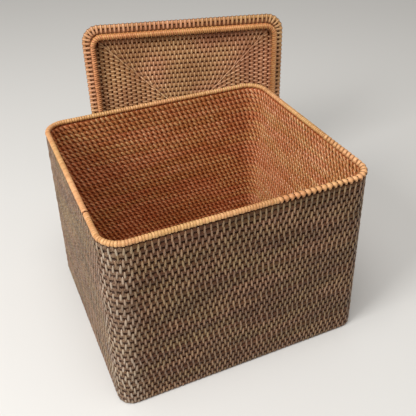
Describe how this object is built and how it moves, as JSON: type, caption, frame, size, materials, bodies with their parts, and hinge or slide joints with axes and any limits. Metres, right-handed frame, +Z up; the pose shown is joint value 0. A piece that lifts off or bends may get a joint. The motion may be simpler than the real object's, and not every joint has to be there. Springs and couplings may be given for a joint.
{
  "type": "woven lidded box",
  "caption": "Rectangular sewn-coil rattan storage box with rounded corners, a wound rim and a separate lid with a wound lip, the lid standing on edge behind it.",
  "frame": {"origin": "middle of the box's underside, on the surface it stands on", "axes": "+X along the box's long side, +Y to the back where the lid stands, +Z up"},
  "size_m": [0.4556, 0.5175, 0.3106],
  "materials": {
    "wall_rattan": "satin sewn rattan, grey brown",
    "base_rattan": "matte sewn rattan, warm brown",
    "core_rattan": "bare rattan rod",
    "rim_peel": "satin wound peel, golden",
    "panel_rattan": "matte sewn rattan, tan",
    "edge_peel": "satin whipped peel, orange tan"
  },
  "bodies": {
    "box": {"base_coil": "base_rattan", "base_seed": "base_rattan", "wall_course_01": "wall_rattan", "wall_course_02": "wall_rattan", "wall_course_03": "wall_rattan", "wall_course_04": "wall_rattan", "wall_course_05": "wall_rattan", "wall_course_06": "wall_rattan", "wall_course_07": "wall_rattan", "wall_course_08": "wall_rattan", "wall_course_09": "wall_rattan", "wall_course_10": "wall_rattan", "wall_course_11": "wall_rattan", "wall_course_12": "wall_rattan", "wall_course_13": "wall_rattan", "wall_course_14": "wall_rattan", "wall_course_15": "wall_rattan", "wall_course_16": "wall_rattan", "wall_course_17": "wall_rattan", "wall_course_18": "wall_rattan", "wall_course_19": "wall_rattan", "wall_course_20": "wall_rattan", "wall_course_21": "wall_rattan", "wall_course_22": "wall_rattan", "wall_course_23": "wall_rattan", "wall_course_24": "wall_rattan", "wall_course_25": "wall_rattan", "wall_course_26": "wall_rattan", "wall_course_27": "wall_rattan", "wall_course_28": "wall_rattan", "wall_course_29": "wall_rattan", "wall_course_30": "wall_rattan", "wall_course_31": "wall_rattan", "wall_course_32": "wall_rattan", "rim_rod": "core_rattan", "rim_binding": "rim_peel"},
    "lid": {"lid_coil": "panel_rattan", "lid_seed": "panel_rattan", "lid_edge_rod": "core_rattan", "lid_edge_binding": "edge_peel", "lid_lip_course": "panel_rattan", "lid_lip_rod": "core_rattan", "lid_lip_binding": "rim_peel"}
  },
  "joints": [
    {"name": "lid_lift", "type": "slide", "parent": "box", "child": "lid", "axis": [0, 0, 1], "range_m": [0, 0.3]}
  ]
}
